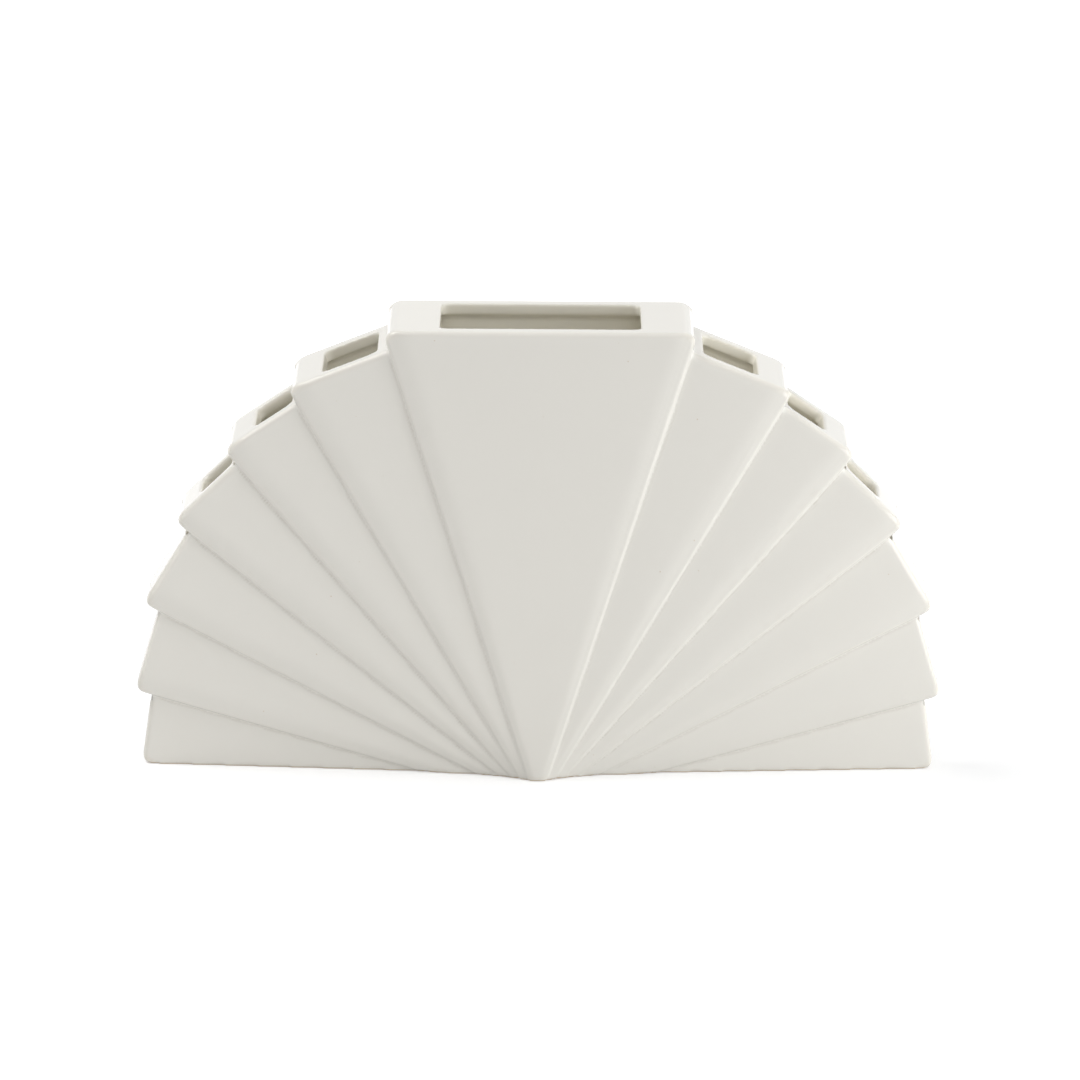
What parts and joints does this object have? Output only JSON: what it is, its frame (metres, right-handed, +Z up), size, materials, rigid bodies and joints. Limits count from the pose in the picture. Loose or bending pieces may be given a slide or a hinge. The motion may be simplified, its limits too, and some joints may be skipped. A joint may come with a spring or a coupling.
{
  "type": "fan vase",
  "caption": "Half-round fan vase in glossy white glazed ceramic, with stepped pleats and open mouths for stems along its rim.",
  "frame": {"origin": "centre of the foot, on the table", "axes": "+Z up, -Y towards the front, +X to the right seen from the front, along the spread of the fan"},
  "size_m": [0.3292, 0.053, 0.19],
  "materials": {
    "glaze": "glossy white glaze"
  },
  "bodies": {
    "root": {"centre_pleat": "glaze", "right_pleat_1": "glaze", "right_pleat_2": "glaze", "right_pleat_3": "glaze", "right_pleat_4": "glaze", "right_pleat_5": "glaze", "right_pleat_6": "glaze", "left_pleat_1": "glaze", "left_pleat_2": "glaze", "left_pleat_3": "glaze", "left_pleat_4": "glaze", "left_pleat_5": "glaze", "left_pleat_6": "glaze", "base_slab": "glaze"}
  },
  "joints": []
}
